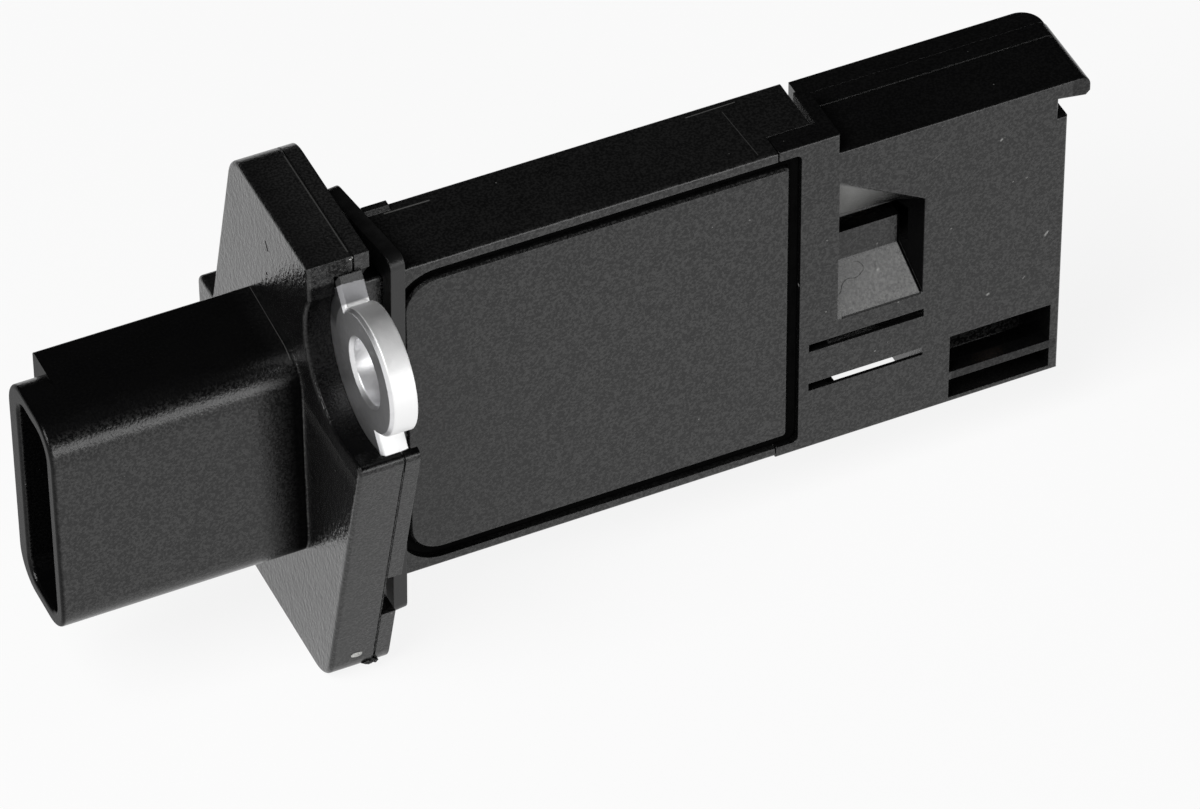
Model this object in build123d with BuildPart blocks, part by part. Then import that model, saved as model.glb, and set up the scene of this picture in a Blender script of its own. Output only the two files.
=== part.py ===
"""Plug-in mass airflow sensor: connector, bolted flange, electronics bay and bypass tip.

Millimetres. +X runs from the connector to the tip, the cover faces -Y and +Z is up.
The origin is the centre of the flange's seating face, which lies in the plane X = 0.
"""

import os
from math import atan2, cos, degrees, hypot, radians, sin, tan

from build123d import *

# Flange: a six-cornered plate with a round notch at each bush, alike when turned half round.
flange_t = 5.05
flange_half_height = 21.4
flange_peak_y = 7.8
flange_shoulder_y = 7.1
flange_shoulder_h = 3.3
flange_side_y = 16.2
flange_notch_h = 13.0
flange_side_w = 1.9
flange_corner_r = 3.1
flange_small_r = 0.6
flange_edge_r = 0.35
relief_t = 1.2
parting_w = 0.18
parting_depth = 0.22
relief_depth = 2.5
relief_low = -13.5
relief_high = -8.3
ear_top_z = 2.4
ear_foot_z = -7.4
ear_corner_r = 0.9

# Steel bushes moulded into the notches: a bored eye with a tab to each side.
bush_y = 12.4
bush_drop = 6.9
bush_bore_d = 5.3
bush_eye_r = 5.05
bush_plate_r = 7.5
bush_plate_t = 2.15
bush_sunk = 2.2
bush_tab_inset = 1.1
bush_notch_r = 6.4
bush_bevel = 0.3
insert_clearance = 0.03

# Connector shroud, with a guide rail along its upper back corner.
shroud_length = 20.5
shroud_front = 5.3
shroud_back = 3.7
shroud_top = 10.4
shroud_bottom = 10.6
shroud_corner_r = 3.0
shroud_wall = 1.25
shroud_back_wall = 1.9
shroud_edge_r = 0.3
socket_depth = 16.0
rail_proud = 1.1
rail_w = 6.0
rail_setback = 2.6
rail_edge_r = 0.4

# Probe body with the electronics bay, open to the front under a glued cover.
body_front = 4.5
body_back = 3.05
body_half_width = 15.95
body_edge_r = 0.3
body_rim = 0.9
cover_setback = 3.75
cover_length = 32.6
cover_t = 1.4
cover_corner_r = 2.8
cover_small_r = 0.5
cover_bevel = 0.2
cover_lap = 1.0
glue_groove = 0.95
glue_sunk = 0.7
ledge_w = 1.6
bay_floor_t = 1.15
bay_corner_r = 1.5
nib_setback = 3.3
nib_length = 2.5
nib_w = 1.0
nib_h = 0.5
nib_draft = 12

# Loose rubber seal round the root of the probe. It sits askew, one corner on the flange.
seal_t = 1.25
seal_margin_y = 1.42
seal_margin_z = 2.45
seal_corner_r = 1.0
seal_yaw = 7.5
seal_pitch = 1.2
seal_clearance = 0.12

# Circuit board with its parts, and the plug's terminals.
board_t = 0.7
board_gap = 0.8
board_end_room = 5.2
terminal_count = 5
terminal_pitch = 2.8
terminal_w = 1.0
terminal_t = 0.64
terminal_setback = 5.5
terminal_landing = 2.4
terminal_taper = 0.6
terminal_clearance = 0.03
chip_size = 6.0
chip_t = 1.3
chip_inset = 11.0
chip_rise = 2.5
chip_edge = 0.25
capacitor_count = 4
capacitor_length = 2.4
capacitor_w = 1.5
capacitor_t = 1.1
capacitor_pitch = 4.4
capacitor_inset = 5.0
resistor_length = 3.2
resistor_w = 1.8
resistor_t = 0.6
resistor_inset = 17.0
resistor_drop = 7.5

# Flow element: a ceramic tongue that reaches from the bay into the bypass channel.
tongue_gap = 0.35
tongue_reach = 10.2
tongue_drop = 9.75
tongue_w = 5.0
tongue_t = 0.6
tongue_clearance = 0.06
film_size = 2.6
film_t = 0.35
film_inset = 5.8

# Bypass tip: a shell that laps over the body's end, with a hood, and a flat back cover.
lap_length = 3.6
lap_t = 2.0
seam_gap = 0.1
rear_gap = 0.45
bridge_w = 1.2
bridge_back = 1.5
tip_length = 19.85
tip_drop = 0.15
shell_back = 2.9
shell_edge_r = 0.2
back_cover_t = 2.0
hood_drop = 1.9
hood_t = 1.55
hood_overhang = 1.55
hood_lip = 0.4
hood_nose_r = 1.0
hood_corner_r = 1.8
hood_line_y = 1.1
hood_line_w = 0.2
tip_notch_w = 0.85
tip_notch_h = 1.9

# Inlet window, a shallow scoop with a steep ramp, and the passages behind it.
window_w = 7.5
window_bottom = -3.35
window_left_h = 14.35
window_right_h = 9.95
window_depth = 2.4
window_ramp_h = 4.0
window_back_h = 4.4
window_roof_fall = 0.4
window_lean = 1.0
throat_reach = 0.8
throat_sill = 0.45
throat_w = 3.0
throat_h = 3.5
throat_slit_h = 1.6
channel_depth = 2.07
channel_roof_t = 1.3
channel_end_wall = 1.3
channel_turn_w = 9.4
channel_low = -7.6
chamber_wall = 0.6
chamber_length = 9.0
chamber_roof_t = 0.95
chamber_floor_t = 1.1
outlet_length = 6.0
outlet_w = 2.3
slot_lead = 2.45
slot_length = 10.1
slot_h = 0.8
slot_lip_t = 0.3
slot_relief = 0.6
slot_drop = 2.1
slot_pitch = 4.15

# Pocket of the air temperature bead, low on the tip, with a guard rib across it.
pocket_length = 9.0
pocket_h = 6.6
pocket_depth = 5.2
pocket_end_wall = 0.8
pocket_floor_t = 0.5
guard_rib_rise = 2.35
guard_rib_h = 0.78
guard_rib_t = 1.2
bead_r = 0.9
bead_length = 2.8
bead_inset = 4.0
bead_rise = 4.9
bead_standoff = 1.2
lead_d = 0.4
lead_spread = 1.0

# Places that follow from the sizes above.
flange_side_z = flange_half_height - flange_notch_h
bush_z = flange_half_height - bush_drop
tongue_rise = body_half_width - tongue_drop
body_t = body_front + body_back
body_mid_y = (body_back - body_front) / 2
cover_half_width = body_half_width - body_rim - glue_groove
cover_right = cover_setback + cover_length
cover_mid_x = (cover_setback + cover_right) / 2
ledge_y = cover_t - body_front
seam_x = cover_right - cover_lap
rear_seam_x = seam_x + lap_length
bay_left = cover_setback + ledge_w
bay_right = seam_x - ledge_w
bay_half_width = cover_half_width - ledge_w
bay_floor_y = body_back - bay_floor_t
board_left = bay_left + board_gap
board_right = bay_right - board_end_room
board_face_y = bay_floor_y - board_t
bush_face_x = bush_sunk - flange_t
mouth_x = -flange_t - shroud_length
socket_floor_x = mouth_x + socket_depth
socket_front = shroud_front - shroud_wall
socket_back = shroud_back - shroud_back_wall
socket_top = shroud_top - shroud_wall
socket_bottom = shroud_bottom - shroud_wall
socket_mid = ((socket_back - socket_front) / 2, (socket_top - socket_bottom) / 2)
bridge_x = rear_seam_x + rear_gap
tip_x = bridge_x + bridge_w
tip_end_x = tip_x + tip_length
tip_bottom = -body_half_width - tip_drop
tip_span = 4 * body_half_width
hood_top = body_half_width - hood_drop
hood_bottom = hood_top - hood_t
hood_end_x = tip_end_x + hood_overhang
window_right = tip_x + window_w
window_back_y = window_depth - body_front
window_sill = window_bottom + window_ramp_h
window_roof = window_sill + window_back_h
window_back_right = window_right - window_lean
throat_floor = window_sill + throat_sill
channel_front_y = shell_back - channel_depth
channel_right = tip_end_x - channel_end_wall
channel_top = hood_bottom - channel_roof_t
channel_turn_x = channel_right - channel_turn_w
chamber_left = bridge_x + chamber_wall
chamber_right = chamber_left + chamber_length
chamber_top = window_bottom - chamber_roof_t
chamber_bottom = tip_bottom + chamber_floor_t
slot_mid_x = tip_x - slot_lead + slot_length / 2
slot_right = slot_mid_x + slot_length / 2
pocket_right = tip_end_x - pocket_end_wall
pocket_mid_x = pocket_right - pocket_length / 2
pocket_bottom = tip_bottom + pocket_floor_t
pocket_back_y = pocket_depth - body_front
guard_rib_z = pocket_bottom + guard_rib_rise
bead_x = pocket_right - bead_inset
bead_y = pocket_back_y - bead_standoff - bead_r
bead_z = pocket_bottom + bead_rise
front = Plane.XZ.offset(body_front)

os.makedirs("parts", exist_ok=True)


def save(piece, node):
    """Labels a finished piece and writes it as its own file."""
    piece.part.label = node
    export_step(piece.part, f"parts/{node}.step")


def flange_edge(side):
    """Half of the flange's edge, from peak to peak round one notch, for side 1 or -1."""
    inward = 1 - bush_notch_r / hypot(bush_y, bush_z)
    arc_start = (-side * flange_shoulder_y, side * (flange_half_height - flange_shoulder_h))
    arc_middle = (-side * bush_y * inward, side * bush_z * inward)
    arc_end = (-side * (flange_side_y - flange_side_w), side * flange_side_z)
    peak = (side * flange_peak_y, side * flange_half_height)
    shoulder = (-side * flange_shoulder_y, side * flange_half_height)
    corner = (-side * flange_side_y, side * flange_side_z)
    Polyline(peak, shoulder, arc_start)
    ThreePointArc(arc_start, arc_middle, arc_end)
    Polyline(arc_end, corner, (-peak[0], -peak[1]))


def bush_outline(side, grown):
    """A bush's round eye joined to a chord of a larger disc, grown all round by a clearance."""
    along = (flange_shoulder_y - flange_side_y, flange_side_z - flange_half_height)
    turn = degrees(atan2(along[1], along[0]))
    reach = side * (bush_tab_inset - grown + bush_plate_r)
    centre = (-side * bush_y, side * bush_z)
    chord_y = centre[0] + reach * cos(radians(turn + 90))
    chord_z = centre[1] + reach * sin(radians(turn + 90))
    with Locations(centre):
        Circle(bush_plate_r + grown)
    with Locations((chord_y, chord_z)):
        Rectangle(4 * bush_plate_r, 2 * bush_plate_r, rotation=turn, mode=Mode.INTERSECT)
    with Locations(centre):
        Circle(bush_eye_r + grown)


def cover_outline(grown):
    """The cover's edge, with its large corners at the flange end, grown all round."""
    with Locations((cover_mid_x, 0)):
        Rectangle(cover_length + 2 * grown, 2 * (cover_half_width + grown))
    fillet(vertices().sort_by(Axis.X)[:2], cover_corner_r + grown)
    fillet(vertices().sort_by(Axis.X)[-2:], cover_small_r)


# Main housing: connector, flange and electronics frame in one moulding.
with BuildPart() as main_housing:
    with BuildSketch(Plane.YZ.offset(-flange_t)) as flange_face:
        with BuildLine():
            flange_edge(1)
            flange_edge(-1)
        make_face()
        corners = vertices().sort_by(Axis.Y)
        fillet([corners.sort_by(Axis.X)[0], corners.sort_by(Axis.X)[-1]], flange_small_r)
        fillet(vertices().group_by(Axis.Y)[-1].sort_by(Axis.X)[-1], flange_corner_r)
        fillet(vertices().group_by(Axis.Y)[0].sort_by(Axis.X)[0], flange_corner_r)
        with BuildLine():
            Polyline(
                (0, ear_top_z),
                (flange_side_y, ear_top_z),
                (flange_side_y, ear_foot_z),
                (0, ear_foot_z),
                close=True,
            )
        make_face()
        ear_corner = vertices().filter_by(lambda v: v.Y > 0).sort_by(Axis.X)[-1]
        fillet(ear_corner, ear_corner_r)
    extrude(amount=flange_t)
    fillet(faces().sort_by(Axis.X)[0].edges(), flange_edge_r)
    # Parting line of the mould, a fine groove round the flange's edge.
    with BuildSketch(Plane.YZ.offset(-relief_t - parting_w)):
        add(flange_face.sketch_local)
        offset(flange_face.sketch_local, -parting_depth, mode=Mode.SUBTRACT)
    extrude(amount=parting_w, mode=Mode.SUBTRACT)
    with BuildSketch(Plane.YZ.offset(-relief_t)):
        relief_z = (relief_low + relief_high) / 2
        lean = (flange_side_y - flange_peak_y) / (flange_side_z + flange_half_height)
        edge_y = -flange_peak_y - lean * (flange_half_height + relief_z)
        with Locations((edge_y, relief_z)):
            Rectangle(2 * relief_depth, relief_high - relief_low)
    extrude(amount=relief_t, mode=Mode.SUBTRACT)
    for side in (1, -1):
        with BuildSketch(Plane.YZ.offset(bush_face_x - insert_clearance)):
            bush_outline(side, insert_clearance)
        extrude(amount=insert_clearance - bush_face_x, mode=Mode.SUBTRACT)
    # Shroud and rail.
    with BuildSketch(Plane.YZ.offset(mouth_x)):
        with Locations(((shroud_back - shroud_front) / 2, (shroud_top - shroud_bottom) / 2)):
            RectangleRounded(shroud_front + shroud_back, shroud_top + shroud_bottom, shroud_corner_r)
    extrude(amount=shroud_length)
    with BuildSketch(Plane.YZ.offset(mouth_x + rail_setback)):
        with Locations((shroud_back + rail_proud, shroud_top)):
            Rectangle(shroud_corner_r + rail_proud, rail_w, align=(Align.MAX, Align.MAX))
        fillet(vertices().group_by(Axis.X)[-1], rail_edge_r)
    extrude(amount=shroud_length - rail_setback)
    # Probe body, stepped back at its end for the tip's lap.
    with BuildSketch(Plane.YZ):
        with Locations((body_mid_y, 0)):
            Rectangle(body_t, 2 * body_half_width)
    extrude(amount=rear_seam_x)
    fillet(edges().filter_by(Axis.X).group_by(SortBy.LENGTH)[-1], body_edge_r)
    with BuildSketch(front):
        with Locations((seam_x - seam_gap, 0)):
            Rectangle(2 * lap_length, tip_span, align=(Align.MIN, Align.CENTER))
    extrude(amount=-lap_t - seam_gap, mode=Mode.SUBTRACT)
    # Nib that keeps the loose seal from sliding off.
    with BuildSketch(Plane.XY.offset(body_half_width - nib_h)):
        with Locations((nib_setback, body_back)):
            Rectangle(nib_length, nib_w, align=(Align.MIN, Align.MAX))
    extrude(amount=2 * nib_h, taper=nib_draft)
    # Seat of the cover with its glue groove, and the bay below.
    with BuildSketch(front):
        cover_outline(glue_groove)
    extrude(amount=-cover_t, mode=Mode.SUBTRACT)
    with BuildSketch(front.offset(-cover_t)):
        with Locations(((bay_left + bay_right) / 2, 0)):
            RectangleRounded(bay_right - bay_left, 2 * bay_half_width, bay_corner_r)
    extrude(amount=ledge_y - bay_floor_y, mode=Mode.SUBTRACT)
    # Passage for the flow element in the bay's end wall.
    with Locations((bay_right, bay_floor_y, tongue_rise)):
        Box(
            2 * (rear_seam_x - bay_right),
            tongue_t + tongue_clearance,
            tongue_w + 2 * tongue_clearance,
            align=(Align.CENTER, Align.MAX, Align.CENTER),
            mode=Mode.SUBTRACT,
        )
    # Plug socket, and the terminals' holes from it to the bay.
    with BuildSketch(Plane.YZ.offset(mouth_x)):
        with Locations(socket_mid):
            RectangleRounded(
                socket_front + socket_back,
                socket_top + socket_bottom,
                shroud_corner_r - shroud_wall,
            )
    extrude(amount=socket_depth, mode=Mode.SUBTRACT)
    fillet(faces().sort_by(Axis.X)[0].edges(), shroud_edge_r)
    with BuildSketch(Plane.YZ.offset(socket_floor_x)):
        with Locations((socket_mid[0], 0)):
            with GridLocations(0, terminal_pitch, 1, terminal_count):
                Rectangle(terminal_t + 2 * terminal_clearance, terminal_w + 2 * terminal_clearance)
    extrude(amount=bay_left - socket_floor_x, mode=Mode.SUBTRACT)
save(main_housing, "main_housing")

# Steel bushes, bevelled round the eye's front.
for bush_name, side in (("front_bush", 1), ("rear_bush", -1)):
    with BuildPart() as bush:
        with BuildSketch(Plane.YZ.offset(bush_face_x)):
            bush_outline(side, 0)
            with Locations((-side * bush_y, side * bush_z)):
                Circle(bush_bore_d / 2, mode=Mode.SUBTRACT)
        extrude(amount=bush_plate_t)
        chamfer(faces().sort_by(Axis.X)[0].edges(), bush_bevel)
    save(bush, bush_name)

# Rubber seal, cut to pass over the probe and tipped against the flange.
with BuildPart() as root_seal:
    seal_half_y = body_t / 2 + seal_margin_y
    seal_half_z = body_half_width + seal_margin_z
    seal_lean_y = tan(radians(seal_yaw))
    seal_lean_z = tan(radians(seal_pitch))
    seal_lift = (
        seal_lean_y * (seal_half_y - seal_corner_r)
        + seal_lean_z * (seal_half_z - seal_corner_r)
        + seal_corner_r * hypot(seal_lean_y, seal_lean_z)
        + seal_t / 2
        + seal_clearance
    )
    seal_plane = Plane(
        origin=(seal_lift, body_mid_y, 0),
        x_dir=(-seal_lean_y, 1, 0),
        z_dir=(1, seal_lean_y, -seal_lean_z),
    )
    with BuildSketch(seal_plane):
        RectangleRounded(2 * seal_half_y, 2 * seal_half_z, seal_corner_r)
        Rectangle(
            body_t / cos(radians(seal_yaw)) + seal_t * seal_lean_y + 2 * seal_clearance,
            2 * body_half_width / cos(radians(seal_pitch)) + seal_t * seal_lean_z + 2 * seal_clearance,
            mode=Mode.SUBTRACT,
        )
    extrude(amount=seal_t / 2, both=True)
save(root_seal, "root_seal")

# Terminals: blades from the socket through the flange, bent down onto the board.
for number in range(terminal_count):
    terminal_z = (number - (terminal_count - 1) / 2) * terminal_pitch
    with BuildPart() as terminal:
        with BuildSketch(Plane.XY.offset(terminal_z - terminal_w / 2)):
            point_x = mouth_x + terminal_setback
            end_x = board_left + terminal_landing
            low_y = socket_mid[0] - terminal_t / 2
            high_y = socket_mid[0] + terminal_t / 2
            with BuildLine():
                Polyline(
                    (point_x, socket_mid[0] - terminal_t / 6),
                    (point_x + terminal_taper, low_y),
                    (end_x, low_y),
                    (end_x, board_face_y),
                    (end_x - terminal_t, board_face_y),
                    (end_x - terminal_t, high_y),
                    (point_x + terminal_taper, high_y),
                    (point_x, socket_mid[0] + terminal_t / 6),
                    close=True,
                )
            make_face()
        extrude(amount=terminal_w)
    save(terminal, f"terminal_{number + 1}")

# Cover plate, flush with the frame, and the black glue bead round it.
with BuildPart() as cover_plate:
    with BuildSketch(front):
        cover_outline(0)
    extrude(amount=-cover_t)
    chamfer(faces().sort_by(Axis.Y)[0].edges(), cover_bevel)
save(cover_plate, "cover_plate")

with BuildPart() as cover_glue:
    with BuildSketch(front.offset(-cover_t)):
        cover_outline(glue_groove)
        with BuildSketch(front.offset(-cover_t), mode=Mode.PRIVATE) as plate_edge:
            cover_outline(0)
        add(plate_edge.sketch, mode=Mode.SUBTRACT)
    extrude(amount=cover_t - glue_sunk)
save(cover_glue, "cover_glue")

# Circuit board on the bay floor, with its chip, capacitors and trimmed resistor.
with BuildPart() as circuit_board:
    with BuildSketch(Plane.XZ.offset(-bay_floor_y)):
        with Locations(((board_left + board_right) / 2, 0)):
            Rectangle(board_right - board_left, 2 * (bay_half_width - board_gap))
    extrude(amount=board_t)
save(circuit_board, "circuit_board")

board_front = Plane.XZ.offset(-board_face_y)
with BuildPart() as signal_chip:
    with BuildSketch(board_front):
        with Locations((board_left + chip_inset, chip_rise)):
            Rectangle(chip_size, chip_size)
    extrude(amount=chip_t)
    chamfer(faces().sort_by(Axis.Y)[0].edges(), chip_edge)
save(signal_chip, "signal_chip")

for number in range(capacitor_count):
    with BuildPart() as capacitor:
        with BuildSketch(board_front):
            capacitor_z = (number - (capacitor_count - 1) / 2) * capacitor_pitch
            with Locations((board_left + capacitor_inset, capacitor_z)):
                Rectangle(capacitor_w, capacitor_length)
        extrude(amount=capacitor_t)
    save(capacitor, f"capacitor_{number + 1}")

with BuildPart() as trimmed_resistor:
    with BuildSketch(board_front):
        with Locations((board_left + resistor_inset, -resistor_drop)):
            Rectangle(resistor_w, resistor_length)
    extrude(amount=resistor_t)
save(trimmed_resistor, "trimmed_resistor")

# Flow element: ceramic tongue with the heated film on its front.
with BuildPart() as element_tongue:
    with BuildSketch(Plane.XZ.offset(-bay_floor_y)):
        tongue_left = board_right + tongue_gap
        tongue_right = tip_x + tongue_reach
        with Locations(((tongue_left + tongue_right) / 2, tongue_rise)):
            Rectangle(tongue_right - tongue_left, tongue_w)
    extrude(amount=tongue_t)
save(element_tongue, "element_tongue")

with BuildPart() as heated_film:
    with BuildSketch(Plane.XZ.offset(tongue_t - bay_floor_y)):
        with Locations((tip_x + film_inset, tongue_rise)):
            Rectangle(film_size, film_size)
    extrude(amount=film_t)
save(heated_film, "heated_film")

# Bypass shell: lap over the body, bridge, tip block and hood in one moulding.
with BuildPart() as bypass_shell:
    with BuildSketch(front):
        with BuildLine():
            Polyline(
                (tip_x, hood_top),
                (tip_x, body_half_width),
                (seam_x, body_half_width),
                (seam_x, tip_bottom),
                (tip_end_x, tip_bottom),
                (tip_end_x, hood_bottom - tip_notch_h),
                (tip_end_x - tip_notch_w, hood_bottom - tip_notch_h),
                (tip_end_x - tip_notch_w, hood_bottom),
                (hood_end_x, hood_bottom - hood_lip),
                (hood_end_x + hood_lip, hood_bottom),
                (hood_end_x + hood_lip, hood_top),
                close=True,
            )
        make_face()
        fillet(vertices().group_by(Axis.X)[-1].sort_by(Axis.Y)[-1], hood_nose_r)
    extrude(amount=-body_front - shell_back)
    fillet(faces().sort_by(Axis.Y)[0].edges(), shell_edge_r)
    # Room for the body behind the lap, and for the seam behind the bridge.
    with Locations((bridge_x, lap_t - body_front, 0)):
        Box(
            2 * (bridge_x - seam_x),
            body_front + shell_back,
            tip_span,
            align=(Align.MAX, Align.MIN, Align.CENTER),
            mode=Mode.SUBTRACT,
        )
    with Locations((tip_x, bridge_back, 0)):
        Box(
            bridge_w,
            body_front + shell_back,
            tip_span,
            align=(Align.MAX, Align.MIN, Align.CENTER),
            mode=Mode.SUBTRACT,
        )
    # Seat of the cover, where it runs onto the lap.
    with BuildSketch(front):
        cover_outline(glue_groove)
    extrude(amount=-cover_t, mode=Mode.SUBTRACT)
    # Inlet scoop: ramp, leaning roof and right wall meet a shallow back wall.
    with BuildSketch(front):
        with BuildLine():
            Polyline(
                (tip_x, window_bottom),
                (window_right, window_bottom),
                (window_right, window_bottom + window_right_h),
                (tip_x, window_bottom + window_left_h),
                close=True,
            )
        make_face()
    with BuildSketch(front.offset(-window_depth)):
        with BuildLine():
            Polyline(
                (tip_x, window_sill),
                (window_back_right, window_sill),
                (window_back_right, window_roof),
                (tip_x, window_roof + window_roof_fall),
                close=True,
            )
        make_face()
    loft(ruled=True, mode=Mode.SUBTRACT)
    # Throat: a slit under the roof and an opening in the right wall, back into the measuring channel.
    with BuildSketch(front.offset(-window_depth)):
        with Locations((tip_x, window_roof)):
            Rectangle(window_w - window_lean, throat_slit_h, align=(Align.MIN, Align.MAX))
    extrude(amount=window_back_y - channel_front_y, mode=Mode.SUBTRACT)
    with Locations((window_back_right, window_back_y - throat_reach, throat_floor)):
        Box(
            throat_w,
            channel_front_y - window_back_y + throat_reach,
            throat_h,
            align=(Align.MIN, Align.MIN, Align.MIN),
            mode=Mode.SUBTRACT,
        )
    # Measuring channel: over the window, down the right side and into the outlet chamber.
    with BuildSketch(Plane.XZ.offset(-shell_back)):
        with BuildLine():
            Polyline(
                (tip_x, throat_floor),
                (tip_x, channel_top),
                (channel_right, channel_top),
                (channel_right, channel_low),
                (chamber_right, channel_low),
                (chamber_right, chamber_top),
                (channel_turn_x, chamber_top),
                (channel_turn_x, throat_floor),
                close=True,
            )
        make_face()
    extrude(amount=shell_back - channel_front_y, mode=Mode.SUBTRACT)
    with BuildSketch(Plane.XZ.offset(-shell_back)):
        with Locations((chamber_left, chamber_bottom)):
            Rectangle(chamber_length, chamber_top - chamber_bottom, align=(Align.MIN, Align.MIN))
    extrude(amount=shell_back + body_front - chamber_wall, mode=Mode.SUBTRACT)
    with BuildSketch(Plane.XY.offset(tip_bottom)):
        with Locations((chamber_right, shell_back)):
            Rectangle(outlet_length, outlet_w, align=(Align.MAX, Align.MAX))
    extrude(amount=chamber_floor_t, mode=Mode.SUBTRACT)
    # Two outlet slots in the front wall.
    with BuildSketch(front):
        for number in range(2):
            with Locations((slot_mid_x, window_bottom - slot_drop - number * slot_pitch)):
                Rectangle(slot_length, slot_h)
    extrude(amount=-lap_t, mode=Mode.SUBTRACT)
    # Thinned wall below each slot, inside the chamber.
    with BuildSketch(front.offset(-slot_lip_t)):
        for number in range(2):
            slot_z = window_bottom - slot_drop - number * slot_pitch
            with Locations((chamber_left, slot_z + slot_h / 2)):
                Rectangle(slot_right - chamber_left, slot_h + slot_relief, align=(Align.MIN, Align.MAX))
    extrude(amount=slot_lip_t - chamber_wall, mode=Mode.SUBTRACT)
    # Pocket of the temperature bead, and its guard rib.
    with BuildSketch(front):
        with Locations((pocket_mid_x, pocket_bottom)):
            Rectangle(pocket_length, pocket_h, align=(Align.CENTER, Align.MIN))
    extrude(amount=-pocket_depth, mode=Mode.SUBTRACT)
    with BuildSketch(front):
        with Locations((pocket_mid_x, guard_rib_z)):
            Rectangle(pocket_length, guard_rib_h)
    extrude(amount=-guard_rib_t)
    # Slit for the ceramic tongue, through the bridge.
    with Locations((tip_x, bay_floor_y + tongue_clearance, tongue_rise)):
        Box(
            2 * bridge_w,
            tongue_t + 2 * tongue_clearance,
            tongue_w + 2 * tongue_clearance,
            align=(Align.CENTER, Align.MAX, Align.CENTER),
            mode=Mode.SUBTRACT,
        )
    # Fine line along the hood.
    with Locations((tip_x, hood_line_y, hood_top)):
        Box(
            2 * tip_length,
            hood_line_w,
            hood_line_w,
            align=(Align.MIN, Align.CENTER, Align.CENTER),
            mode=Mode.SUBTRACT,
        )
save(bypass_shell, "bypass_shell")

# Back cover of the bypass, with the rear strip of the hood on it.
with BuildPart() as bypass_cover:
    with BuildSketch(Plane.XZ.offset(-shell_back)):
        with BuildLine():
            Polyline(
                (tip_x, tip_bottom),
                (tip_x, hood_top),
                (hood_end_x, hood_top),
                (hood_end_x, hood_bottom),
                (tip_end_x, hood_bottom),
                (tip_end_x, tip_bottom),
                close=True,
            )
        make_face()
    extrude(amount=-back_cover_t)
    hood_edge = edges().filter_by(Axis.Z).group_by(Axis.X)[-1].sort_by(Axis.Y)[-1]
    fillet(hood_edge, hood_corner_r)
    fillet(faces().sort_by(Axis.Y)[-1].edges(), shell_edge_r)
save(bypass_cover, "bypass_cover")

# Air temperature bead on two leads from the pocket's back wall.
with BuildPart() as temperature_bead:
    with BuildSketch(Plane.XY.offset(bead_z)):
        with Locations((bead_x, bead_y)):
            SlotOverall(bead_length, 2 * bead_r)
            Rectangle(bead_length, bead_r, align=(Align.CENTER, Align.MIN), mode=Mode.INTERSECT)
    revolve(axis=Axis((bead_x, bead_y, bead_z), (1, 0, 0)))
save(temperature_bead, "temperature_bead")

for lead_name, lead_side in (("bead_lead_left", -1), ("bead_lead_right", 1)):
    with BuildPart() as lead:
        with BuildSketch(Plane.XZ.offset(-pocket_back_y)):
            with Locations((bead_x + lead_side * lead_spread / 2, bead_z)):
                Circle(lead_d / 2)
        extrude(amount=pocket_back_y - bead_y)
        with Locations((bead_x, bead_y, bead_z)):
            Cylinder(bead_r, bead_length, rotation=(0, 90, 0), mode=Mode.SUBTRACT)
    save(lead, lead_name)
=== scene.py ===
import math

import bmesh
import bpy
import numpy as np
from mathutils import Matrix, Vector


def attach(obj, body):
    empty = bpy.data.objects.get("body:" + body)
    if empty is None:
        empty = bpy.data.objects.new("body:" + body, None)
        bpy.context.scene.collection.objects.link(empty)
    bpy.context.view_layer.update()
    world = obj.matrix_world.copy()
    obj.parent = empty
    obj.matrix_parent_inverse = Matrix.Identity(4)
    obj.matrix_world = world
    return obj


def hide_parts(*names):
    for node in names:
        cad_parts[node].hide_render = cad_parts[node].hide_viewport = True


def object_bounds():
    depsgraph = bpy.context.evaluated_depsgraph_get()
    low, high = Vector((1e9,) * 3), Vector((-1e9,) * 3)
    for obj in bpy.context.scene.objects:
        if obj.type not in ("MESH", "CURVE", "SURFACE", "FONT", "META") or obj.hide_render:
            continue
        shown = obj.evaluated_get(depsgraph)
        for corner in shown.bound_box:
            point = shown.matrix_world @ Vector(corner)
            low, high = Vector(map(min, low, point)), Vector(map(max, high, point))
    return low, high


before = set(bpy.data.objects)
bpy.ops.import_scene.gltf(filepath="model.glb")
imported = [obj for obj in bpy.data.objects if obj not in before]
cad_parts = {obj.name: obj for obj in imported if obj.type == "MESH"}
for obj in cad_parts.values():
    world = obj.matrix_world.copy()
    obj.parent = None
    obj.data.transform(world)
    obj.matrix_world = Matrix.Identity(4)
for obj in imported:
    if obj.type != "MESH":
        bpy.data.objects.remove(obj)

cad_box = [list(corner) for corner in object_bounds()]

# Main housing
# Connector shroud, bolted flange and electronics frame, moulded in one shot from glass-filled polyester.
# The spark-eroded mould leaves a satin grain, and handling leaves dust, scratches and a grey film.
MM = 0.001
BLACK = (0.0013, 0.0013, 0.0014, 1.0)
GREY_FILM = (0.075, 0.075, 0.074, 1.0)
DUST_AND_PAINTED_LIGHT = (0.34, 0.34, 0.33, 1.0)
SATIN_ROUGHNESS = 0.20
MATTE_ROUGHNESS = 0.9
PLASTIC_IOR = 1.46
GRAIN_SIZE = 0.20 * MM
GRAIN_DEPTH = 0.02 * MM
LUMP_SIZE = 0.75 * MM
CLOUD_SIZE = 9 * MM
RUB_SIZE = 1.6 * MM
RUB_STRETCH = (2.2, 1.0, 1.0)
MOULDED_EDGE_R = 0.10 * MM
EDGE_SAMPLES = 4
# Dust: spacing and radius of the specks, and the share of places that carry one.
SMALL_DUST = (1.1 * MM, 0.11 * MM, 0.12)
LARGE_DUST = (4.2 * MM, 0.26 * MM, 0.3)
CUT_SHARPNESS = 2.5
CUT_DEPTH = 4.0
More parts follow.
